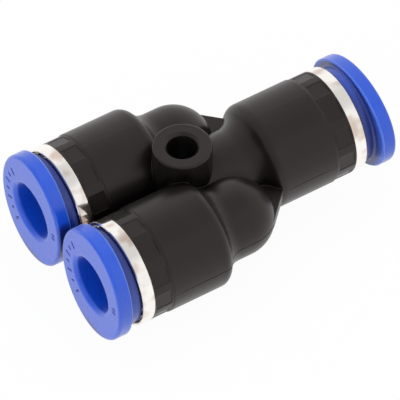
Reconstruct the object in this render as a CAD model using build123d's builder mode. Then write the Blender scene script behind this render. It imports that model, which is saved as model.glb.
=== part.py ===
from build123d import *
import os
from math import cos, radians, sin, tan

# Y union for 6 mm plastic tube: a moulded body with three push-in ports and a screw hole.
# All lengths are in millimetres. The origin is on the axis of the screw hole, half way up it.
# +X runs along the single port (the stem), the two branches point along -X, and +Z is up
# along the screw hole. Inside a port, depths are counted from the body's mouth face inwards,
# so that what stands out of the mouth has a negative depth.

# ---- the tube that the fitting takes ------------------------------------------------
tube_d = 6.0
tube_bore_d = 4.0
tube_clearance = 0.1         # round the tube in the body's socket
guide_clearance = 0.15       # round the tube in the release sleeve and the support ring
claw_bite = 0.1              # how far the claw's tips stand inside the tube's surface
seal_squeeze = 0.12          # how far the seal's lip stands inside the tube's surface

# ---- walls of a port, from the tube outwards ----------------------------------------
sleeve_wall = 1.1
neck_clearance = 0.1         # between the sleeve's neck and the ring's lip
hook_height = 0.35
hook_clearance = 0.15        # between the sleeve's hooks and the ring's bore
ring_wall = 0.35
shell_wall = 0.9
band_step = 0.1              # the band behind each mouth is slimmer than the shell by this

# ---- layout, from the screw hole ----------------------------------------------------
stem_stop_x = 5.62           # where a tube stops in the stem
branch_stop_x = 1.65         # and in the branches
tube_guide = 4.75            # length of the plain tube socket in front of a stop
shell_gap = 0.2              # between the shells of the two branches
stem_turn = -99.2            # how far each release sleeve happens to be turned, in degrees
branch_turn = 5.7

# ---- moulded body, outside ----------------------------------------------------------
mouth_band = 2.3
flat_count = 12              # shallow grip flats round each band
flat_depth = 0.12
flat_width = 2.0
flat_margin = 0.2            # left at both ends of a flat
flat_overcut = 0.05          # how far the cutter for a flat reaches outside the band
seal_to_shoulder = 1.75      # from the end of the seal's seat to where the shell turns in
shoulder_angle = 60.0
shoulder_round = 1.25
shoulder_straight = 0.02     # between the round and the hollow of the shoulder
lobe_wall = 1.2              # domed end of each branch, round the tube's socket
lobe_x = 2.6
neck_wall = 1.1              # from the stem's shell to the screw boss
web_thickness = 1.2
screw_hole_d = 3.3
screw_chamfer = 0.3
boss_wall = 1.55
boss_rise = 0.01             # above and below the sleeves' flanges
boss_edge = 0.2

# ---- moulded body, inside -----------------------------------------------------------
mouth_chamfer = 0.15
seal_step = 0.3              # from the socket down to the seal's seat
stem_passage_x = 4.55        # ends of the straight flow passages
branch_passage_x = 3.75
fork_x = 5.4                 # where the slanted passages leave the stem's axis
meet_x = 2.95                # and where they meet the branches' axes
cross_passage_d = 2.8

# ---- retaining ring, plated brass ---------------------------------------------------
ring_collar = 1.41           # the part that stands out of the mouth
collar_wall = 0.4
collar_edge = 0.12
collar_bell = 0.15           # the collar's bore opens out at its front
lip_thickness = 1.15         # lip that holds the sleeve's hooks
lip_end = 0.9

# ---- release sleeve, moulded acetal -------------------------------------------------
sleeve_travel = 0.9
stop_gap = 0.05              # left in front of the ring's lip when the sleeve is pushed in
push_gap = 1.24              # between the flange and the ring, at rest
flange_thickness = 1.66
flange_long = 14.16          # the flange is oval
flange_gap = 0.5             # between the flanges of the two branches
flange_front_edge = 0.35
flange_back_edge = 0.12
entry_round = 0.55
hub_clearance = 0.08         # between the hub and the ring's collar
hub_chamfer = 0.2
flare_margin = 0.03          # between the hub's flare and the edge of the flange
hook_gap = 0.1               # between the hooks and the ring's lip, at rest
hook_length = 0.75
hook_room = 0.05             # behind the hooks when the sleeve is pushed in
nose_wall = 0.7
nose_gap = 0.1               # between the nose and the claw, at rest
nose_chamfer = 0.3
slit_count = 4
slit_width = 0.8
slit_past_lip = 0.15

# ---- grip claw, spring steel --------------------------------------------------------
claw_thickness = 0.25
claw_play = 0.05             # all round the claw, so that it turns with the sleeve
claw_rim = 0.95
claw_angle = 40.0            # between the teeth and the rim
tooth_count = 10
tooth_slit = 0.5

# ---- support ring, moulded acetal ---------------------------------------------------
support_length = 2.3
support_lead = 0.3           # how much wider than the claw's rim the support ring opens
support_cone = 1.35

# ---- seal, nitrile rubber -----------------------------------------------------------
seal_length = 2.3
seal_clearance = 0.05
seal_back_gap = 0.25         # round the tube, behind the seal's lip
seal_lip_wall = 0.7
seal_outer_wall = 0.65
seal_groove_depth = 1.1

# ---- radii that follow --------------------------------------------------------------
tube_r = tube_d / 2
tube_socket_r = tube_r + tube_clearance
guide_r = tube_r + guide_clearance
neck_r = guide_r + sleeve_wall
lip_r = neck_r + neck_clearance
hook_r = neck_r + hook_height
ring_bore_r = hook_r + hook_clearance
socket_r = ring_bore_r + ring_wall
shell_r = socket_r + shell_wall
band_r = shell_r - band_step
collar_bore_r = band_r - collar_wall
hub_r = collar_bore_r - hub_clearance
claw_root_r = socket_r - claw_play - claw_rim
seal_seat_r = socket_r - seal_step
lobe_r = tube_socket_r + lobe_wall
body_neck_r = tube_socket_r + neck_wall
boss_r = screw_hole_d / 2 + boss_wall

# ---- depths that follow -------------------------------------------------------------
flange_back = -(ring_collar + push_gap)
flange_front = flange_back - flange_thickness
lip_front = lip_end - lip_thickness
hub_end = lip_front - stop_gap - sleeve_travel
hook_start = lip_end + hook_gap
hook_end = hook_start + hook_length
ring_length = hook_end + sleeve_travel + hook_room
claw_front = ring_length + claw_play
nose_end = claw_front - nose_gap
support_front = claw_front + claw_thickness + claw_play
socket_depth = support_front + support_length
seal_seat_end = socket_depth + seal_length + 2 * seal_clearance
shoulder_start = seal_seat_end + seal_to_shoulder
tube_stop = seal_seat_end + tube_guide

# ---- places and outer sizes that follow ---------------------------------------------
branch_y = shell_r + shell_gap / 2
stem_mouth_x = stem_stop_x + tube_stop
branch_mouth_x = branch_stop_x - tube_stop
flange_short = 2 * branch_y - flange_gap
hub_flare = flange_short / 2 - flange_back_edge - flare_margin - hub_r
boss_height = flange_long + 2 * boss_rise

# The port planes: origin on the mouth face, X inwards along the port, Y up, across the axis.
ports = {
    "stem": Plane(origin=(stem_mouth_x, 0, 0), x_dir=(-1, 0, 0), z_dir=(0, 1, 0)),
    "branch_left": Plane(origin=(branch_mouth_x, branch_y, 0), x_dir=(1, 0, 0), z_dir=(0, -1, 0)),
    "branch_right": Plane(origin=(branch_mouth_x, -branch_y, 0), x_dir=(1, 0, 0), z_dir=(0, -1, 0)),
}


def port_axis(port):
    """The port's centre line, pointing inwards."""
    return Axis(port.origin, port.x_dir)


def across(port, depth):
    """The plane square to the port's axis, depth inside the mouth, facing the tube."""
    return Plane(origin=port.origin + port.x_dir * depth, x_dir=port.y_dir, z_dir=-port.x_dir)


def sleeve_turn(name):
    """The turn of a port's release sleeve in the plane that faces the tube."""
    return stem_turn if name == "stem" else -branch_turn


def nearest_corner(profile, depth, radius):
    """The corner of a port profile nearest to a depth and a radius."""
    return profile.vertices().sort_by_distance((depth, radius))[0]


def build_shell(port, end_r, end_depth, domed):
    """One port's shell: mouth band, shell and ogee shoulder, then a neck or a domed lobe."""
    lean = radians(shoulder_angle)
    shoulder_end = shoulder_start + (shell_r - end_r) / tan(lean)
    half_turn = tan(lean / 2)
    shoulder_hollow = ((shell_r - end_r) / sin(lean) - shoulder_straight) / half_turn - shoulder_round
    with BuildPart() as shell:
        with BuildSketch(port) as profile:
            with BuildLine():
                outline = Polyline(
                    (0, 0),
                    (0, band_r),
                    (mouth_band, band_r),
                    (mouth_band + band_step, shell_r),
                    (shoulder_start, shell_r),
                    (shoulder_end, end_r),
                    (end_depth, end_r),
                )
                if domed:
                    dome = CenterArc((end_depth, 0), end_r, 90, -90)
                    Line(dome @ 1, (0, 0))
                else:
                    Polyline(outline @ 1, (end_depth, 0), (0, 0))
            make_face()
            fillet(nearest_corner(profile, shoulder_start, shell_r), shoulder_round)
            fillet(nearest_corner(profile, shoulder_end, end_r), shoulder_hollow)
        revolve(axis=port_axis(port))
    return shell.part


def build_body():
    """The glass-filled body: three shells, a boss, two webs and everything cored out of them."""
    with BuildPart() as body:
        # shells
        add(build_shell(ports["stem"], body_neck_r, stem_mouth_x, domed=False))
        for name in ("branch_left", "branch_right"):
            add(build_shell(ports[name], lobe_r, lobe_x - branch_mouth_x, domed=True))

        # webs in the mid plane, each ending in a 45 degree edge that just touches the lobe
        reach = lobe_r * cos(radians(45))
        touch = (lobe_x + reach, branch_y + reach)
        edge_end = (touch[0] + touch[1] - body_neck_r, body_neck_r)
        with BuildSketch():
            with BuildLine():
                Polyline((0, 0), (lobe_x, branch_y), touch, edge_end, (edge_end[0], 0), close=True)
            make_face()
            mirror(about=Plane.XZ)
        extrude(amount=web_thickness / 2, both=True)

        # boss
        with BuildSketch(Plane.XY.offset(-boss_height / 2)):
            Circle(boss_r)
        extrude(amount=boss_height)
        rims = body.edges().filter_by(GeomType.CIRCLE).filter_by(
            lambda edge: abs(abs(edge.center().Z) - boss_height / 2) < 1e-3
        )
        fillet(rims, boss_edge)

        # grip flats
        cut = flat_depth + flat_overcut
        for port in ports.values():
            with BuildSketch(across(port, flat_margin)):
                with PolarLocations(band_r - flat_depth + cut / 2, flat_count):
                    Rectangle(cut, flat_width)
            extrude(amount=2 * flat_margin - mouth_band, mode=Mode.SUBTRACT)

        # stepped sockets and flow passages
        for name, port in ports.items():
            end = stem_mouth_x - stem_passage_x if name == "stem" else branch_passage_x - branch_mouth_x
            with BuildSketch(port):
                with BuildLine():
                    Polyline(
                        (0, 0),
                        (0, socket_r + mouth_chamfer),
                        (mouth_chamfer, socket_r),
                        (socket_depth, socket_r),
                        (socket_depth, seal_seat_r),
                        (seal_seat_end, seal_seat_r),
                        (seal_seat_end, tube_socket_r),
                        (tube_stop, tube_socket_r),
                        (tube_stop, tube_bore_d / 2),
                        (end, tube_bore_d / 2),
                        (end, 0),
                        close=True,
                    )
                make_face()
            revolve(axis=port_axis(port), mode=Mode.SUBTRACT)

        # slanted passages, from the stem's axis round the screw hole to each branch
        fork = Vector(fork_x, 0, 0)
        for side in (1, -1):
            slant = Vector(meet_x, side * branch_y, 0) - fork
            with BuildSketch(Plane(origin=fork, z_dir=slant)):
                Circle(cross_passage_d / 2)
            extrude(amount=slant.length, mode=Mode.SUBTRACT)

        # screw hole
        with Locations(Plane.XY.offset(boss_height / 2), Plane.XY.offset(-boss_height / 2).rotated((180, 0, 0))):
            CounterSinkHole(screw_hole_d / 2, screw_hole_d / 2 + screw_chamfer, depth=boss_height, counter_sink_angle=90)
    return body


def build_retaining_ring(port):
    """Plated brass ring: a belled collar outside the mouth and a spigot pressed into the socket."""
    with BuildPart() as retaining_ring:
        with BuildSketch(port):
            with BuildLine():
                Polyline(
                    (-ring_collar, collar_bore_r + collar_bell),
                    (-ring_collar, band_r - collar_edge),
                    (collar_edge - ring_collar, band_r),
                    (0, band_r),
                    (0, socket_r),
                    (ring_length, socket_r),
                    (ring_length, ring_bore_r),
                    (lip_end, ring_bore_r),
                    (lip_end, lip_r),
                    (lip_front, lip_r),
                    (lip_front, collar_bore_r),
                    (collar_bell - ring_collar, collar_bore_r),
                    close=True,
                )
            make_face()
        revolve(axis=port_axis(port))
    return retaining_ring


def build_release_sleeve(port, turn):
    """Release sleeve: oval flange, flared hub, slit hooks behind the ring's lip, and the nose."""
    nose_r = guide_r + nose_wall
    with BuildPart() as release_sleeve:
        with BuildSketch(across(port, flange_front)):
            Ellipse(flange_long / 2, flange_short / 2, rotation=turn)
        extrude(amount=-flange_thickness)
        rims = release_sleeve.edges().sort_by(port_axis(port))
        fillet(rims[0], flange_front_edge)
        chamfer(release_sleeve.edges().sort_by(port_axis(port))[-1], flange_back_edge)
        with BuildSketch(port) as profile:
            with BuildLine():
                Polyline(
                    (flange_front + flange_front_edge, 0),
                    (flange_front + flange_front_edge, guide_r + entry_round),
                    (flange_back, hub_r + hub_flare),
                    (flange_back, hub_r),
                    (hub_end - hub_chamfer, hub_r),
                    (hub_end, hub_r - hub_chamfer),
                    (hub_end, neck_r),
                    (hook_start, neck_r),
                    (hook_start, hook_r),
                    (hook_start + hook_length / 3, hook_r),
                    (hook_end, nose_r),
                    (nose_end - nose_chamfer, nose_r),
                    (nose_end, nose_r - nose_chamfer),
                    (nose_end, 0),
                    close=True,
                )
            make_face()
            fillet(nearest_corner(profile, flange_back, hub_r), hub_flare - 0.01)
        revolve(axis=port_axis(port))
        # bore for the tube, with a rounded entry
        with BuildSketch(across(port, flange_front)):
            Circle(guide_r)
        extrude(amount=flange_front - nose_end, mode=Mode.SUBTRACT)
        entry = release_sleeve.edges().filter_by(GeomType.CIRCLE).group_by(port_axis(port))[0]
        fillet(entry, entry_round)
        # slits that let the hooks spring in
        with BuildSketch(across(port, nose_end)):
            with PolarLocations(hook_r, slit_count, start_angle=turn):
                Rectangle(hook_r, slit_width)
        extrude(amount=nose_end - lip_front + slit_past_lip, mode=Mode.SUBTRACT)
    return release_sleeve


def build_grip_claw(port):
    """Spring-steel claw: a flat rim with sharp teeth that lean inwards."""
    lean = radians(claw_angle)
    tip_r = tube_r - claw_bite
    tip = (claw_front + (claw_root_r - tip_r) * tan(lean), tip_r)
    back_tip = (tip[0] + claw_thickness * cos(lean), tip[1] + claw_thickness * sin(lean))
    back = claw_front + claw_thickness
    back_root_r = back_tip[1] + (back_tip[0] - back) / tan(lean)
    rim_r = socket_r - claw_play
    with BuildPart() as grip_claw:
        with BuildSketch(port):
            with BuildLine():
                Polyline(
                    (claw_front, rim_r),
                    (claw_front, claw_root_r),
                    tip,
                    back_tip,
                    (back, back_root_r),
                    (back, rim_r),
                    close=True,
                )
            make_face()
        revolve(axis=port_axis(port))
        with BuildSketch(across(port, back_tip[0])):
            with PolarLocations(claw_root_r / 2, tooth_count):
                Rectangle(claw_root_r, tooth_slit)
        extrude(amount=back_tip[0] - claw_front, mode=Mode.SUBTRACT)
    return grip_claw


def build_support_ring(port):
    """Support ring behind the claw, coned so that the teeth have room to open."""
    with BuildPart() as support_ring:
        with BuildSketch(port):
            with BuildLine():
                Polyline(
                    (support_front, claw_root_r + support_lead),
                    (support_front, socket_r),
                    (socket_depth, socket_r),
                    (socket_depth, guide_r),
                    (support_front + support_cone, guide_r),
                    close=True,
                )
            make_face()
        revolve(axis=port_axis(port))
    return support_ring


def build_seal(port):
    """Cup seal with its groove towards the pressure and one thin lip on the tube."""
    front = socket_depth + seal_clearance
    back = front + seal_length
    lip_inner_r = tube_r - seal_squeeze
    groove_inner_r = tube_r + seal_lip_wall
    groove_outer_r = seal_seat_r - seal_outer_wall
    with BuildPart() as seal:
        with BuildSketch(port):
            with BuildLine():
                Polyline(
                    (front, seal_seat_r),
                    (front, tube_r + seal_back_gap),
                    (back - seal_groove_depth, lip_inner_r),
                    (back, lip_inner_r + seal_clearance),
                    (back, groove_inner_r),
                    (back - seal_groove_depth, (groove_inner_r + groove_outer_r) / 2),
                    (back, groove_outer_r),
                    (back, seal_seat_r),
                    close=True,
                )
            make_face()
        revolve(axis=port_axis(port))
    return seal


def save(built, node):
    """Write one piece as parts/NODE.step."""
    built.part.label = node
    export_step(built.part, f"parts/{node}.step")


os.makedirs("parts", exist_ok=True)
save(build_body(), "body")
for name, port in ports.items():
    save(build_retaining_ring(port), f"retaining_ring_{name}")
    save(build_release_sleeve(port, sleeve_turn(name)), f"release_sleeve_{name}")
    save(build_grip_claw(port), f"grip_claw_{name}")
    save(build_support_ring(port), f"support_ring_{name}")
    save(build_seal(port), f"seal_{name}")
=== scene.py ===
# %% [markdown]
# A Y union for plastic tube, dressed for a studio picture.
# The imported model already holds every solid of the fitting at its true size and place: the black
# moulding, three blue release sleeves, three plated rings and the claws, supports and seals
# inside. This lesson loads them, gives each one a procedural finish, adds the parting line of the
# mould and the small raised marks on the sleeves, and sets up the light and the camera.

import bmesh
import bpy
import numpy as np
from mathutils import Matrix, Vector


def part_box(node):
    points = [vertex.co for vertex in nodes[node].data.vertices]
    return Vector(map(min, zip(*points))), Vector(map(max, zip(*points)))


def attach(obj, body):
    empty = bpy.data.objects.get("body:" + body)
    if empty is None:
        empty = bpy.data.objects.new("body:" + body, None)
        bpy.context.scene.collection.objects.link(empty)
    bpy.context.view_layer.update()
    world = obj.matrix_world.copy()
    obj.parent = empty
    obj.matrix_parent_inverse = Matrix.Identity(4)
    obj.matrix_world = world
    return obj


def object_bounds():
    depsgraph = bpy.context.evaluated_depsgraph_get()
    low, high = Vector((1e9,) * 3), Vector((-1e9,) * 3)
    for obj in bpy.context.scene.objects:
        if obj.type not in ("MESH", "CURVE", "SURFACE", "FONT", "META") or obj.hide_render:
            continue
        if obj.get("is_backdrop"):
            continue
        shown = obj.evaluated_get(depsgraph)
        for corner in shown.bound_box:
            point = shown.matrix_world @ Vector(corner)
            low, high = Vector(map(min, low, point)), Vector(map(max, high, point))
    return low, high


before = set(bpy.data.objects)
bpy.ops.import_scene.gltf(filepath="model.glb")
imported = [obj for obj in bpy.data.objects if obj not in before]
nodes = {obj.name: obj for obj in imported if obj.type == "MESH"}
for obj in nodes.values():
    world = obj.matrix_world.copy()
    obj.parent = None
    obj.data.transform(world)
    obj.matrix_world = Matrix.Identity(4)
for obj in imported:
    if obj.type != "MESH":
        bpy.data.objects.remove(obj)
cad_low, cad_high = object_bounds()
MM = 0.001
print("solids in the frame:", len(nodes))
print("size in mm:", [round((high - low) / MM, 2) for low, high in zip(cad_low, cad_high)])

# %% [markdown]
# Materials are graphs of nodes. A few small helpers keep them short: each one adds a shader node,
# fills or links its inputs and gives its result, so that a material reads like a list of what the
# surface is made of. Mix and Math nodes have several sockets of one name, so theirs are given by
# position.

# %% Node helpers


def fill(tree, node, values):
    """Links the sockets among the values to a node's inputs, and sets the plain ones on them."""
    for name, value in values.items():
        if isinstance(value, bpy.types.NodeSocket):
            tree.links.new(value, node.inputs[name])
        else:
            node.inputs[name].default_value = value


def add_node(tree, kind, values=None, **settings):
    """Adds a shader node, makes its own settings, and fills its inputs."""
    node = tree.nodes.new(kind)
    for name, value in settings.items():
        setattr(node, name, value)
    fill(tree, node, values or {})
    return node


def calculate(tree, operation, *values):
    """One Math node: gives its result."""
    numbered = dict(enumerate(values))
    return add_node(tree, "ShaderNodeMath", numbered, operation=operation).outputs[0]


def smooth_step(tree, value, start, end, low=0.0, high=1.0):
    """Rises softly from low at the start value to high at the end value."""
    values = {0: value, 1: start, 2: end, 3: low, 4: high}
    return add_node(tree, "ShaderNodeMapRange", values, interpolation_type="SMOOTHSTEP").outputs[0]


def blend(tree, share, first, second):
    """The first colour x (1 - share) + the second colour x share."""
    values = {0: share, 6: first, 7: second}
    return add_node(tree, "ShaderNodeMix", values, data_type="RGBA").outputs[2]


print("node helpers:", [helper.__name__ for helper in (add_node, calculate, smooth_step, blend)])

# %% [markdown]
# A surface also needs things that follow a place or a direction: noise that is sampled at a place,
# the cosine between two directions, and normals that are rounded at edges or tilted by a height.

# %% Surface helpers


def cosine_between(tree, first, second):
    """The dot product of two directions."""
    values = {0: first, 1: second}
    node = add_node(tree, "ShaderNodeVectorMath", values, operation="DOT_PRODUCT")
    return node.outputs["Value"]


def noise(tree, where, scale, detail):
    """Smooth noise from 0 to 1. The scale is its number of waves in a metre."""
    values = {"Vector": where, "Scale": scale, "Detail": detail}
    return add_node(tree, "ShaderNodeTexNoise", values).outputs["Fac"]


def rounded_normal(tree, radius, samples):
    """The normal that the surface would have if its edges were rounded to the radius."""
    return add_node(tree, "ShaderNodeBevel", {"Radius": radius}, samples=samples).outputs[0]


def relief(tree, height, strength, depth, normal):
    """A Bump node laid over a normal: gives the tilted normal."""
    values = {"Height": height, "Strength": strength, "Distance": depth, "Normal": normal}
    return add_node(tree, "ShaderNodeBump", values).outputs["Normal"]


def grey(value):
    """A neutral linear colour."""
    return (value, value, value, 1.0)


def new_material(name):
    """A new material, its node tree and its principled shader."""
    material = bpy.data.materials.new(name)
    material.use_nodes = True
    tree = material.node_tree
    return material, tree, tree.nodes["Principled BSDF"]


print("surface helpers:", [helper.__name__ for helper in (noise, rounded_normal, relief)])

# %% [markdown]
# Moulded plastic is never quite even. The mould's fine spark texture breaks up the gloss, the
# melt leaves slow waves in the surface, and the colour drifts a little. On top of that, the colour
# is darkened in hollows as painted shade and lightened on open edges as a painted highlight. The
# black body, the blue sleeves and the pale support rings all share this, so it is one node group,
# which each of them fills with its own values. First comes its face to the outside: the inputs
# and the outputs.

# %% Sockets of the moulded surface
EDGE_SOFTNESS = 0.12 * MM
MOULDED_INPUTS = (
    ("Deep Color", "NodeSocketColor", grey(0.1)),
    ("Light Color", "NodeSocketColor", grey(0.2)),
    # The colours of the painted shade in hollows and of the painted highlight on open edges:
    ("Painted Shade Color", "NodeSocketColor", grey(0.05)),
    ("Painted Highlight Color", "NodeSocketColor", grey(0.3)),
    ("Mean Roughness", "NodeSocketFloat", 0.3),
    ("Unevenness", "NodeSocketFloat", 0.1),
    ("Grain Scale", "NodeSocketFloat", 6000.0),
    ("Wave Scale", "NodeSocketFloat", 300.0),
    ("Wave Share", "NodeSocketFloat", 0.3),
    ("Softness", "NodeSocketFloat", EDGE_SOFTNESS),
)
MOULDED_OUTPUTS = (
    ("Color", "NodeSocketColor"),
    ("Roughness", "NodeSocketFloat"),
    ("Height", "NodeSocketFloat"),
    ("Rounded Normal", "NodeSocketVector"),
)


def open_group(name, inputs, outputs):
    """Starts a node group with named sockets, and gives it with the sockets of its inputs."""
    group = bpy.data.node_groups.new(name, "ShaderNodeTree")
    for socket_name, kind, default in inputs:
        socket = group.interface.new_socket(socket_name, in_out="INPUT", socket_type=kind)
        socket.default_value = default
    for socket_name, kind in outputs:
        group.interface.new_socket(socket_name, in_out="OUTPUT", socket_type=kind)
    return group, add_node(group, "NodeGroupInput").outputs


moulded_surface, given = open_group("moulded_surface", MOULDED_INPUTS, MOULDED_OUTPUTS)
print("sockets of the moulded surface:", len(moulded_surface.interface.items_tree))

# %% [markdown]
# Inside, two noises in Object coordinates make the grain and the drift. The Ambient Occlusion
# node tells how open a place is: it sends short rays out and counts the free ones, and where few
# get away the colour is darkened as painted shade. The Bevel node's normal leaves the true one
# near an edge, and how far it leaves it marks where a painted highlight lightens the colour.
# Noise, and these two, need no unwrapping and follow any solid.

# %% Group: moulded surface
GRAIN_DETAIL, WAVE_DETAIL = 3.0, 2.0
# Painted shade: the reach of the occlusion rays, and the occlusion levels from full painted shade
# to none.
PAINTED_SHADE_REACH = 1.4 * MM
FULL_SHADE_AO, NO_SHADE_AO = 0.68, 0.97
# Painted highlight on edges: the bevel radius of its mask, and the bends from none to full.
HIGHLIGHT_BEVEL_RADIUS = 0.25 * MM
HIGHLIGHT_FROM, HIGHLIGHT_FULL = 0.012, 0.05
RAY_SAMPLES = 8


def painted_shade_openness(tree):
    """A smooth step of the share of short rays that get away: 0 where the colour takes full
    painted shade, 1 where it takes none.
    """
    reach = {"Distance": PAINTED_SHADE_REACH}
    occlusion = add_node(tree, "ShaderNodeAmbientOcclusion", reach, samples=RAY_SAMPLES)
    return smooth_step(tree, occlusion.outputs["AO"], FULL_SHADE_AO, NO_SHADE_AO)


def edge_highlight_mask(tree):
    """A smooth step of 1 - cosine between the widely rounded normal and the plain one: the mask of
    the painted highlight on edges.
    """
    plain = add_node(tree, "ShaderNodeNewGeometry").outputs["Normal"]
    cosine = cosine_between(tree, rounded_normal(tree, HIGHLIGHT_BEVEL_RADIUS, RAY_SAMPLES), plain)
    return smooth_step(tree, calculate(tree, "SUBTRACT", 1.0, cosine), HIGHLIGHT_FROM, HIGHLIGHT_FULL)


def fill_moulded_surface(group, given):
    """Colour = deep to light by the drift, towards the painted shade colour where the occlusion
    rays are blocked, and the painted highlight colour on open edges. Roughness = mean +
    unevenness x (drift - 0.5). Height = grain + drift x the wave share."""
    where = add_node(group, "ShaderNodeTexCoord").outputs["Object"]
    grain = noise(group, where, given["Grain Scale"], GRAIN_DETAIL)
    drift = noise(group, where, given["Wave Scale"], WAVE_DETAIL)
    spread = calculate(group, "SUBTRACT", drift, 0.5)
    unshaded_share = painted_shade_openness(group)
    # Painted highlight: open edges take the highlight colour, except where painted shade is full.
    painted_highlight = calculate(group, "MULTIPLY", edge_highlight_mask(group), unshaded_share)
    colour = blend(group, drift, given["Deep Color"], given["Light Color"])
    # Painted shade: the colour turns to the shade colour where the occlusion rays are blocked.
    colour = blend(group, unshaded_share, given["Painted Shade Color"], colour)
    results = {
        "Color": blend(group, painted_highlight, colour, given["Painted Highlight Color"]),
        "Roughness": calculate(
            group, "MULTIPLY_ADD", spread, given["Unevenness"], given["Mean Roughness"]
        ),
        "Height": calculate(group, "MULTIPLY_ADD", drift, given["Wave Share"], grain),
        "Rounded Normal": rounded_normal(group, given["Softness"], RAY_SAMPLES),
    }
    add_node(group, "NodeGroupOutput", results)


fill_moulded_surface(moulded_surface, given)
print("nodes in the moulded surface:", len(moulded_surface.nodes))

# %% [markdown]
# No mould has truly sharp corners, so the grain is laid over the group's rounded normal, which
# softens the edges of the solids by a tenth of a millimetre, and those of the black body a little
# more. What differs over the surface comes from the group. What is the same all over, such as the
# strength or tint of the gloss, is set on the shader itself.

# %% A moulded plastic
GRAIN_DEPTH = 0.012 * MM


def moulded_plastic(name, tones, gloss, bump, **group_values):
    """A principled plastic over the moulded surface group. The tones are the colours of its deep
    and light places, of its painted shade in hollows and of its painted highlight on edges. The
    group's other inputs are given by name, with _ for a space. The gloss holds the shader's own
    plain values."""
    material, tree, surface = new_material(name)
    values = {tone + " Color": colour + (1.0,) for tone, colour in tones.items()}
    values.update({key.replace("_", " "): value for key, value in group_values.items()})
    made = add_node(tree, "ShaderNodeGroup", values, node_tree=moulded_surface).outputs
    normal = relief(tree, made["Height"], bump, GRAIN_DEPTH, made["Rounded Normal"])
    fill(tree, surface, {"Base Color": made["Color"], "Roughness": made["Roughness"], **gloss})
    fill(tree, surface, {"Normal": normal})
    print(name, "gloss:", gloss)
    return material


# %% [markdown]
# The body is a black moulded plastic: satin, and a little warm in its gloss. Its grain is the
# finest and the strongest of them all. In the black, the painted shade in hollows and the painted
# highlight on edges are only faint.

# %% Black body
BODY_SOFTNESS = 0.18 * MM
WARM_GLOSS = (1.0, 0.86, 0.84, 1.0)
# Besides its own deep and light tones: a painted shade colour for hollows and a painted highlight
# colour for edges.
BLACK_TONES = {
    "Deep": (0.0075, 0.0062, 0.0058),
    "Light": (0.0105, 0.0088, 0.0082),
    "Painted Shade": (0.003, 0.0025, 0.0023),
    "Painted Highlight": (0.012, 0.01, 0.0095),
}
body_black = moulded_plastic(
    "body_black",
    BLACK_TONES,
    {"Specular IOR Level": 0.43, "Specular Tint": WARM_GLOSS},
    bump=0.35,
    Mean_Roughness=0.33,
    Unevenness=0.1,
    Grain_Scale=9000.0,
    Softness=BODY_SOFTNESS,
)

# %% [markdown]
# The sleeves are a smooth blue acetal, slightly waxy. Their colour is lightened on open edges
# as a painted highlight and deepened in hollows as painted shade, and a little sheen gives the
# waxy bloom at shallow angles. The raised marks are of the same plastic, but such small relief
# would hardly show in its bright blue, so their colour is a deeper blue: painted shade that
# stands in for the shading of the relief.

# %% Blue sleeves and their marks
# Besides its own deep and light tones: a painted shade colour for hollows and a painted highlight
# colour for edges.
BLUE_TONES = {
    "Deep": (0.004, 0.075, 0.62),
    "Light": (0.006, 0.09, 0.7),
    "Painted Shade": (0.0005, 0.014, 0.17),
    "Painted Highlight": (0.14, 0.3, 0.95),
}
# The marks' colour is painted shade: a deeper blue standing in for the shading of their relief.
MARK_PAINTED_SHADE_TONES = {
    "Deep": (0.002, 0.035, 0.4),
    "Light": (0.003, 0.045, 0.48),
    "Painted Shade": (0.0005, 0.014, 0.17),
    "Painted Highlight": (0.002, 0.035, 0.4),
}
WAXY_GLOSS = {"Specular IOR Level": 0.75, "Sheen Weight": 0.3, "Sheen Roughness": 0.35}
sleeve_blue = moulded_plastic(
    "sleeve_blue",
    BLUE_TONES,
    WAXY_GLOSS,
    bump=0.15,
    Mean_Roughness=0.28,
    Unevenness=0.08,
    Grain_Scale=5000.0,
)
mark_painted_shade_blue = moulded_plastic(
    "mark_painted_shade_blue",
    MARK_PAINTED_SHADE_TONES,
    {"Specular IOR Level": 0.4},
    bump=0.1,
    Mean_Roughness=0.4,
    Unevenness=0.08,
    Grain_Scale=5000.0,
)

# %% [markdown]
# Deep in each port lie a support ring of uncoloured plastic, which is a little yellow, and a
# rubber seal. The rubber is dull, so it is the roughest of the solids.

# %% Support rings and seals
# Besides its own deep and light tones: a painted shade colour for hollows and a painted highlight
# colour for edges.
WHITE_TONES = {
    "Deep": (0.7, 0.69, 0.63),
    "Light": (0.8, 0.79, 0.74),
    "Painted Shade": (0.5, 0.49, 0.44),
    "Painted Highlight": (0.82, 0.81, 0.77),
}
# Besides its own deep and light tones: a painted shade colour for hollows and a painted highlight
# colour for edges.
SEAL_TONES = {
    "Deep": (0.012, 0.012, 0.012),
    "Light": (0.02, 0.02, 0.02),
    "Painted Shade": (0.006, 0.006, 0.006),
    "Painted Highlight": (0.02, 0.02, 0.02),
}
support_white = moulded_plastic(
    "support_white",
    WHITE_TONES,
    {},
    bump=0.15,
    Mean_Roughness=0.4,
    Unevenness=0.1,
    Grain_Scale=5000.0,
)
seal_black = moulded_plastic(
    "seal_black",
    SEAL_TONES,
    {},
    bump=0.3,
    Mean_Roughness=0.6,
    Unevenness=0.1,
    Grain_Scale=7000.0,
)

# %% [markdown]
# The rings are turned brass with a bright nickel plate, and the claws are stamped spring steel.
# The turning tool leaves very fine lines round the port's axis, which runs along X, so the noise
# is stretched a lot across Y and Z. A slower noise stands for the slight waviness of the plate,
# and where it is low the colour turns to a patch colour: on the rings a warm painted reflection,
# on the claws a slightly duller steel.

# %% Metals
TURNING_STRETCH = (1.0, 0.03, 0.03)
LINE_SCALE, LINE_DETAIL, LINE_DEPTH = 9000.0, 3.0, 0.01 * MM
WAVE_SCALE, WAVE_OCTAVES, WAVE_DEPTH = 520.0, 1.0, 0.1 * MM
PATCH_FROM, PATCH_FULL = 0.55, 0.3
METAL_SAMPLES = 6


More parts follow.
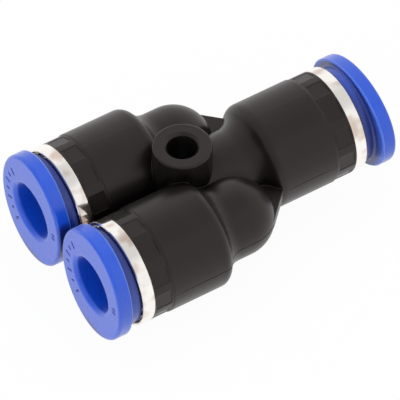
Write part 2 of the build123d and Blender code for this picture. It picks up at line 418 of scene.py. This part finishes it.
def plated_metal(name, colour, patch_colour, roughness, line_bump, wave_bump):
    """A metal with faint turning lines and a slow waviness, over softened edges. The colour goes
    to the patch colour where the slow noise is low: a painted warm reflection on the rings."""
    material, tree, surface = new_material(name)
    where = add_node(tree, "ShaderNodeTexCoord").outputs["Object"]
    stretch = {"Vector": where, "Scale": TURNING_STRETCH}
    stretched = add_node(tree, "ShaderNodeMapping", stretch).outputs[0]
    lines = noise(tree, stretched, LINE_SCALE, LINE_DETAIL)
    wave = noise(tree, where, WAVE_SCALE, WAVE_OCTAVES)
    normal = rounded_normal(tree, EDGE_SOFTNESS, METAL_SAMPLES)
    normal = relief(tree, wave, wave_bump, WAVE_DEPTH, normal)
    normal = relief(tree, lines, line_bump, LINE_DEPTH, normal)
    patch_share = smooth_step(tree, wave, PATCH_FROM, PATCH_FULL)
    plate = blend(tree, patch_share, colour + (1.0,), patch_colour + (1.0,))
    fill(tree, surface, {"Base Color": plate, "Metallic": 1.0, "Roughness": roughness})
    fill(tree, surface, {"Normal": normal})
    print(name, "roughness:", roughness)
    return material


# The rings' patch colour is a painted warm reflection; the claws' is a duller steel tone.
NICKEL, NICKEL_WARM_REFLECTION = (0.98, 0.94, 0.9), (0.72, 0.6, 0.52)
STEEL, DULL_STEEL = (0.6, 0.6, 0.61), (0.56, 0.55, 0.54)
ring_plate = plated_metal("ring_plate", NICKEL, NICKEL_WARM_REFLECTION, 0.12, line_bump=0.15, wave_bump=1.0)
claw_spring = plated_metal("claw_spring", STEEL, DULL_STEEL, 0.25, line_bump=0.1, wave_bump=0.1)

# %% [markdown]
# The first word of a solid's name says what kind of piece it is, so one small table gives every
# solid its finish. Only the material slot of the object changes: the mesh stays as it was packed.

# %% Finish of each solid
FINISH = {
    "body": body_black,
    "release": sleeve_blue,
    "retaining": ring_plate,
    "grip": claw_spring,
    "support": support_white,
    "seal": seal_black,
}
for name, node in nodes.items():
    finish = FINISH[name.split("_")[0]]
    node.data.materials.clear()
    node.data.materials.append(finish)
    print(name, "->", finish.name)

# %% [markdown]
# The new pieces lie on the solids, so they need the ports' places and a few of the body's sizes.
# The boxes of the solids give them: a ring's box is centred on its port, and a sleeve's box ends
# at its front face.

# %% Places of the ports
PORTS = ("stem", "branch_left", "branch_right")


def port_frame(port):
    """The port's centre on the sleeve's front face, and +1 or -1 for the way the face looks along
    X: the middle of the ring's box, moved along X to the end of the sleeve's box."""
    ring_low, ring_high = (np.array(corner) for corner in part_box("retaining_ring_" + port))
    sleeve_low, sleeve_high = (np.array(corner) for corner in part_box("release_sleeve_" + port))
    outward = 1.0 if port == "stem" else -1.0
    centre = (ring_low + ring_high) / 2
    centre[0] = sleeve_high[0] if outward > 0 else sleeve_low[0]
    return centre, outward


for port in PORTS:
    print(port, np.round(port_frame(port)[0] / MM, 2))

# %% [markdown]
# Every new piece here is one closed surface: a small section, carried along a path. At each point
# of the path stands a ring of points. Rows of quads join the rings, and since a surface must be
# closed, a fan of triangles to one more point covers each end.

# %% Faces of a swept surface


def swept_faces(rings, sides):
    """Quads between neighbouring rings of points, and a fan of triangles that closes each end."""
    ring, side = np.meshgrid(np.arange(rings - 1), np.arange(sides), indexing="ij")
    here, there = ring * sides, (ring + 1) * sides
    following = (side + 1) % sides
    corners = [here + side, here + following, there + following, there + side]
    quads = np.stack(corners, -1).reshape(-1, 4)
    edge = np.arange(sides)
    turned = (edge + 1) % sides
    last = (rings - 1) * sides
    first_middle, last_middle = np.full(sides, rings * sides), np.full(sides, rings * sides + 1)
    first_fan = np.stack([turned, edge, first_middle], -1)
    last_fan = np.stack([last + edge, last + turned, last_middle], -1)
    return quads.tolist() + first_fan.tolist() + last_fan.tolist()


print("faces of a sweep of three rings of four points:", len(swept_faces(3, 4)))

# %% [markdown]
# The section's points are given by two coordinates, across and up, and each point of the path has
# its own directions for them, so the whole surface is one array of sums, with no loop over its
# points. The section itself is a low bump, whose root is sunk in the solid that it grows out of.

# %% Swept surfaces
ROOT_SHARE = 0.6


def swept_mesh(name, points, across, up, section, scale):
    """Each vertex is: path point + section's first coordinate x scale x across + second coordinate
    x scale x up. The middles of the first and last rings are two more vertices."""
    offsets = section[None, :, :] * scale[:, None, :]
    sideways = offsets[..., :1] * across[:, None, :]
    grid = points[:, None, :] + sideways + offsets[..., 1:] * up[:, None, :]
    ends = np.stack([grid[0].mean(0), grid[-1].mean(0)])
    vertices = np.concatenate([grid.reshape(-1, 3), ends])
    mesh = bpy.data.meshes.new(name)
    mesh.from_pydata(vertices.tolist(), [], swept_faces(len(points), len(section)))
    shell = bmesh.new()
    shell.from_mesh(mesh)
    bmesh.ops.recalc_face_normals(shell, faces=shell.faces)
    shell.to_mesh(mesh)
    shell.free()
    return mesh


def low_bump(half_width, height, root_depth, count=7):
    """A closed section: height x cosine across the width, on a narrower root below it."""
    across = np.linspace(-1, 1, count)
    bump = np.stack([across * half_width, height * np.cos(across * np.pi / 2)], -1)
    root = np.stack([across[::-1] * half_width * ROOT_SHARE, np.full(count, -root_depth)], -1)
    return np.concatenate([bump, root])


print("points in a bump's section:", len(low_bump(0.1 * MM, 0.05 * MM, 0.05 * MM)))

# %% [markdown]
# A new piece is an object at the origin, with its place in its mesh, as the solids have it. It is
# told which body carries it, so that it moves with that body, and which finish it belongs to.

# %% Placing of a piece


def place_piece(mesh, material, body):
    """Smooth shading, a finish, the body that it rides on and the record's material slot."""
    mesh.polygons.foreach_set("use_smooth", np.ones(len(mesh.polygons), bool))
    mesh.materials.append(material)
    piece = bpy.data.objects.new(mesh.name, mesh)
    bpy.context.scene.collection.objects.link(piece)
    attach(piece, body)
    print(piece.name, "rides on", body, "with", len(mesh.polygons), "faces")


# %% [markdown]
# The two halves of the mould meet in the body's mid plane, and the melt creeps a few hundredths
# of a millimetre into that gap. On the real fitting this leaves a fine raised line along the
# outer side of each branch, round its domed end, and along both sides of the stem. The line
# follows the body's outline in the mid plane, which is made of straight runs and arcs, so it is
# worked out here from the same sizes as the body: depth into the body from the mouth, and radius
# from the port's axis.

# %% Outline of a port in the mid plane
SHELL_R = 6.0 * MM
SHELL_START = 2.5 * MM
SHELL_END_GAP = 0.8 * MM
SHOULDER_START = 9.5 * MM
SHOULDER_ANGLE = np.radians(60.0)
SHOULDER_ROUND = 1.25 * MM
SHOULDER_STRAIGHT = 0.02 * MM
LOBE_R = 4.3 * MM
LOBE_CENTRE = 13.45 * MM
DOME_ANGLE = np.radians(45)


def shell_outline(count=12):
    """Depth and radius along the straight shell, up to a little before the shoulder."""
    depth = np.linspace(SHELL_START, SHOULDER_START - SHELL_END_GAP, count)
    return np.stack([depth, np.full(count, SHELL_R)], -1)


def shoulder_outline(count=16):
    """Depth and radius along the ogee: an arc that turns in by the shoulder's angle, a short
    straight and an arc that turns back. A point of an arc is: the arc's start or end in depth and
    radius + its round x (sine, 1 - cosine) of the angle turned."""
    half = np.tan(SHOULDER_ANGLE / 2)
    drop = SHELL_R - LOBE_R
    hollow = (drop / np.sin(SHOULDER_ANGLE) - SHOULDER_STRAIGHT) / half - SHOULDER_ROUND
    first = SHOULDER_START - SHOULDER_ROUND * half
    last = SHOULDER_START + drop / np.tan(SHOULDER_ANGLE) + hollow * half
    angle = np.linspace(0, SHOULDER_ANGLE, count)
    back = angle[::-1]
    fall = SHOULDER_ROUND * (1 - np.cos(angle))
    convex = np.stack([first + SHOULDER_ROUND * np.sin(angle), SHELL_R - fall], -1)
    rise = hollow * (1 - np.cos(back))
    concave = np.stack([last - hollow * np.sin(back), LOBE_R + rise], -1)
    return np.concatenate([convex, concave])


def dome_outline(count=24):
    """Depth and radius along the lobe's dome, from its widest place to where the web leaves it:
    centre + radius x (sine, cosine)."""
    angle = np.linspace(0, DOME_ANGLE, count)
    return np.stack([LOBE_CENTRE + LOBE_R * np.sin(angle), LOBE_R * np.cos(angle)], -1)


stem_outline = shell_outline()
branch_outline = np.concatenate([stem_outline, shoulder_outline()[1:], dome_outline()])
print("points of the outlines:", len(stem_outline), len(branch_outline))

# %% [markdown]
# Carrying a low rounded section along that outline gives the flash its true shape, where a drawn
# line would stay flat. Both of its ends fade out, so that it sinks into the surface and doesn't
# stop short.

# %% Parting line
MOUTH_FROM_FACE = 4.31 * MM
FLASH_HALF_WIDTH = 0.09 * MM
FLASH_HEIGHT = 0.035 * MM
FLASH_ROOT = 0.04 * MM
FLASH_TAPER = 4
FLASH_TIP = 0.02


def fading_ends(count):
    """Scales of width and height along the path: the height grows evenly over a few points from
    each end, and the width by the square root of that."""
    ramp = np.minimum(1, (np.arange(count) + FLASH_TIP) / FLASH_TAPER)
    fade = np.minimum(ramp, ramp[::-1])
    return np.stack([np.sqrt(fade), fade], -1)


def build_flash(port, side, outline):
    """The outline's depth runs along X from the mouth, and its radius along Y. The section's up is
    the outline's normal: the tangent turned a quarter."""
    face, outward = port_frame(port)
    mouth_x = face[0] - outward * MOUTH_FROM_FACE
    x = mouth_x - outward * outline[:, 0]
    y = face[1] + side * outline[:, 1]
    points = np.stack([x, y, np.full(len(x), face[2])], -1)
    tangent = np.gradient(points, axis=0)
    tangent /= np.linalg.norm(tangent, axis=1)[:, None]
    across = np.tile([0.0, 0.0, 1.0], (len(points), 1))
    normal = np.cross(across, tangent)
    normal *= np.sign(normal[:, 1:2] * side)
    section = low_bump(FLASH_HALF_WIDTH, FLASH_HEIGHT, FLASH_ROOT)
    name = f"flash_{port}_{'near' if side < 0 else 'far'}"
    mesh = swept_mesh(name, points, across, normal, section, fading_ends(len(points)))
    place_piece(mesh, body_black, "fitting")


build_flash("branch_right", -1, branch_outline)
build_flash("branch_left", 1, branch_outline)
for side in (-1, 1):
    build_flash("stem", side, stem_outline)

# %% [markdown]
# The front of each release sleeve carries a few small raised marks. Here they are plain ticks,
# long and short by turns, as on any moulded button, and a close pair of ticks on the other side.
# A tick is the same low rounded section, carried a short way outwards from the bore, with ends
# that taper. Moulded marks are real relief, so they catch the light from every side.

# %% One raised tick
SLEEVE_TURN = {"stem": -99.2, "branch_left": -5.7, "branch_right": -5.7}
TICK_MIDDLE_R = 4.62 * MM
TICK_HALF_WIDTH = 0.16 * MM
TICK_HEIGHT = 0.05 * MM
TICK_ROOT = 0.04 * MM
TICK_POINTS = 11
TICK_TIP = 0.98


def tick_mesh(name, port, angle, length):
    """A straight path outwards from the port's axis: t runs from end to end as the sine of an even
    angle, and both scales are the square root of 1 - t^4."""
    face, outward = port_frame(port)
    bearing = np.radians(angle + SLEEVE_TURN[port])
    radial = np.array([0.0, -outward * np.sin(bearing), np.cos(bearing)])
    tangential = np.array([0.0, radial[2], -radial[1]])
    t = np.sin(np.linspace(-1, 1, TICK_POINTS) * np.pi / 2) * TICK_TIP
    points = face + radial * (TICK_MIDDLE_R + t[:, None] * length / 2)
    across = np.tile(tangential, (len(t), 1))
    up = np.tile([outward, 0.0, 0.0], (len(t), 1))
    round_end = np.sqrt(1 - t**4)
    scale = np.stack([round_end, round_end], -1)
    section = low_bump(TICK_HALF_WIDTH, TICK_HEIGHT, TICK_ROOT)
    return swept_mesh(name, points, across, up, section, scale)


print("points in a tick's path:", TICK_POINTS)

# %% [markdown]
# The ticks of one sleeve are joined into one piece, because they are moulded on it and move with
# it. A row of seven stands on one side of the bore, and the close pair opposite it.

# %% Raised marks
TICK_ANGLES = 54.7 + 15.5 * np.arange(7)
PAIR_ANGLES = np.array([-83.5, -77.0])
LONG_TICK, SHORT_TICK = 0.95 * MM, 0.6 * MM


def build_marks(port):
    """All ticks of one sleeve, long and short by turns and then the short pair, in one mesh."""
    lengths = [SHORT_TICK if k % 2 else LONG_TICK for k in range(len(TICK_ANGLES))]
    ticks = list(zip(TICK_ANGLES, lengths)) + [(angle, SHORT_TICK) for angle in PAIR_ANGLES]
    joined = bmesh.new()
    for k, (angle, length) in enumerate(ticks):
        joined.from_mesh(tick_mesh(f"tick_{port}_{k}", port, angle, length))
    mesh = bpy.data.meshes.new("marks_" + port)
    joined.to_mesh(mesh)
    joined.free()
    place_piece(mesh, mark_painted_shade_blue, "sleeve_" + port)


for port in PORTS:
    build_marks(port)

# %% [markdown]
# The fitting lies on white paper. For the camera, and in reflections and through clear things,
# the paper is nearly pure white, so that the picture has a clean background and the plating has
# something bright to mirror. A part of the real shading is kept in it, and with it the soft
# shadow under the fitting. For all other light the paper is plain white paper.

# %% Floor
FLOOR_HALF = 2.0
FLOOR_DROP = 0.02 * MM
PAPER_WHITE, PAPER_ROUGHNESS, PAPER_GLOSS = 0.9, 0.95, 0.2
PAPER_GLOW = 0.96


def clean_rays(tree, gloss_share):
    """1 for rays from the camera or through something clear, the gloss share for rays from a
    gloss, and otherwise 0."""
    path = add_node(tree, "ShaderNodeLightPath").outputs
    straight = calculate(tree, "MAXIMUM", path["Is Camera Ray"], path["Is Transmission Ray"])
    gloss = calculate(tree, "MULTIPLY", path["Is Glossy Ray"], gloss_share)
    return calculate(tree, "MAXIMUM", straight, gloss)


def build_paper():
    """White paper that shows most of itself as an even white to clean rays."""
    paper, tree, surface = new_material("floor_paper")
    values = {"Roughness": PAPER_ROUGHNESS, "Specular IOR Level": PAPER_GLOSS}
    fill(tree, surface, {"Base Color": grey(PAPER_WHITE), **values})
    glow = add_node(tree, "ShaderNodeEmission", {"Color": grey(1.0), "Strength": 1.0})
    share = calculate(tree, "MULTIPLY", clean_rays(tree, 1.0), PAPER_GLOW)
    shaders = {0: share, 1: surface.outputs[0], 2: glow.outputs[0]}
    mixed = add_node(tree, "ShaderNodeMixShader", shaders)
    fill(tree, tree.nodes["Material Output"], {"Surface": mixed.outputs[0]})
    return paper


def build_floor(paper):
    """A flat sheet a hair below the lowest point of the solids, so that no two faces lie in one
    plane."""
    mesh = bpy.data.meshes.new("floor")
    signs = ((-1, -1), (1, -1), (1, 1), (-1, 1))
    corners = [(x * FLOOR_HALF, y * FLOOR_HALF, cad_low[2] - FLOOR_DROP) for x, y in signs]
    mesh.from_pydata(corners, [], [(0, 1, 2, 3)])
    mesh.materials.append(paper)
    sheet = bpy.data.objects.new("floor", mesh)
    bpy.context.scene.collection.objects.link(sheet)
    sheet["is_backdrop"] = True
    print("floor level in mm:", round(corners[0][2] / MM, 3))


build_floor(build_paper())

# %% [markdown]
# A studio tent lights small shiny goods evenly, and yet not the same from all sides. Here the
# tent is bright from -Y round by +X to +Y, dim on the other side, and darker overhead, where the
# camera's hood hangs. The world is that tent: its brightness follows the direction of the ray.
# That gives satin plastic its soft bright and dark bands, and the plated rings their contrast.
# The camera, and anything clear, sees plain white behind everything. Gloss sees half of that
# white and half of the tent's own light, so that the plating shows the white surround and still
# looks like metal.

# %% Tent
TENT_DIM, TENT_BRIGHT = 0.12, 0.97
OPEN_SIDE, OPEN_FROM, OPEN_TO = 15.0, -0.8, -0.1
SWING_SIDE, SWING_MEAN, SWING_DEPTH = 50.0, 0.9, 0.08
HOOD_LEVEL, HOOD_EDGE, HOOD_MIDDLE = 0.42, 0.68, 0.92
TENT_GLOSS_WHITE = 0.5


def cosine_to_side(tree, direction, azimuth):
    """The cosine between a ray's direction and a level direction at the azimuth from +X."""
    side = Vector((np.cos(np.radians(azimuth)), np.sin(np.radians(azimuth)), 0.0))
    return cosine_between(tree, direction, side)


def build_tent():
    """World brightness = a smooth step by the cosine to the open side, x (mean + depth x the
    cosine to a second side), x a smooth fall towards the zenith, then blended to white for clean
    rays."""
    world = bpy.data.worlds.new("tent")
    world.use_nodes = True
    tree = world.node_tree
    direction = add_node(tree, "ShaderNodeTexCoord").outputs["Generated"]
    open_cosine = cosine_to_side(tree, direction, OPEN_SIDE)
    opened = smooth_step(tree, open_cosine, OPEN_FROM, OPEN_TO, TENT_DIM, TENT_BRIGHT)
    swing_cosine = cosine_to_side(tree, direction, SWING_SIDE)
    swing = calculate(tree, "MULTIPLY_ADD", swing_cosine, SWING_DEPTH, SWING_MEAN)
    height = add_node(tree, "ShaderNodeSeparateXYZ", {0: direction}).outputs["Z"]
    hood = smooth_step(tree, height, HOOD_EDGE, HOOD_MIDDLE, 1.0, HOOD_LEVEL)
    tent = calculate(tree, "MULTIPLY", calculate(tree, "MULTIPLY", opened, swing), hood)
    values = {0: clean_rays(tree, TENT_GLOSS_WHITE), 2: tent, 3: 1.0}
    strength = add_node(tree, "ShaderNodeMix", values, data_type="FLOAT").outputs[0]
    fill(tree, tree.nodes["Background"], {"Color": grey(1.0), "Strength": strength})
    print("nodes in the tent:", len(tree.nodes))
    return world


bpy.context.scene.world = build_tent()

# %% [markdown]
# The tent alone is a little dim for the plain colours, so two large soft lamps lift them: one
# overhead and one low on the camera's side. They are hidden from reflections, because the tent
# already gives those.

# %% Lamps
LAMP_DISTANCE, LAMP_SIZE = 0.6, 0.5


def soft_lamp(name, direction, power):
    """A square area lamp at a distance along a direction, aimed at the origin."""
    data = bpy.data.lights.new(name, "AREA")
    data.size = LAMP_SIZE
    data.energy = power
    lamp = bpy.data.objects.new(name, data)
    bpy.context.scene.collection.objects.link(lamp)
    place = Vector(direction).normalized() * LAMP_DISTANCE
    aimed = (-place).to_track_quat("-Z", "Y").to_matrix().to_4x4()
    lamp.matrix_world = Matrix.Translation(place) @ aimed
    lamp.visible_glossy = False
    print(name, "power in W:", power)


soft_lamp("overhead_softbox", (0.1, 0.1, 1.0), power=1.3)
soft_lamp("front_softbox", (-1.0, -0.3, 0.5), power=1.9)

# %% [markdown]
# The camera stands far off with a long lens, as product pictures are taken, so that the ports
# stay nearly parallel. It looks down on the fitting from the side of the two branches. Its axes
# are worked out from the azimuth and the elevation, and then rolled a little.

# %% Camera
VIEW_AZIMUTH, VIEW_ELEVATION, VIEW_ROLL = np.radians((-31.57, 48.43, -0.66))
CAMERA_DISTANCE = 0.7058
LENS_MM, SENSOR_MM = 600.4, 36.0
AIM_RIGHT, AIM_UP = 1.82 * MM, -1.0 * MM
NEAREST, FARTHEST = 0.01, 20.0


def camera_axes():
    """Back = (sin azimuth x cos elevation, -cos azimuth x cos elevation, sin elevation). Right is
    level and up is back x right, before both turn by the roll."""
    level_back = np.cos(VIEW_ELEVATION)
    back = Vector(
        (
            np.sin(VIEW_AZIMUTH) * level_back,
            -np.cos(VIEW_AZIMUTH) * level_back,
            np.sin(VIEW_ELEVATION),
        )
    )
    level_right = Vector((np.cos(VIEW_AZIMUTH), np.sin(VIEW_AZIMUTH), 0.0))
    level_up = back.cross(level_right)
    right = level_right * np.cos(VIEW_ROLL) + level_up * np.sin(VIEW_ROLL)
    up = level_up * np.cos(VIEW_ROLL) - level_right * np.sin(VIEW_ROLL)
    return right, up, back


right, up, back = camera_axes()
camera_data = bpy.data.cameras.new("camera")
camera_data.lens = LENS_MM
camera_data.sensor_width = SENSOR_MM
camera_data.clip_start = NEAREST
camera_data.clip_end = FARTHEST
camera = bpy.data.objects.new("camera", camera_data)
bpy.context.scene.collection.objects.link(camera)
aim = right * AIM_RIGHT + up * AIM_UP
turn = Matrix((right, up, back)).transposed().to_4x4()
camera.matrix_world = Matrix.Translation(aim + back * CAMERA_DISTANCE) @ turn
bpy.context.scene.camera = camera
bpy.context.scene.view_settings.view_transform = "Standard"
print("camera at, in mm:", [round(value / MM, 1) for value in camera.matrix_world.translation])

# %% [markdown]
# How far the dressed fitting's box reaches past the high corner of the solids' box is printed,
# so that it shows at once if a new piece stands too far proud.

# %% Finish
visual_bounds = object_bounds()
grown = [visual - cad for visual, cad in zip(visual_bounds[1], cad_high)]
print("past the high corner in mm:", [round(value / MM, 3) for value in grown])
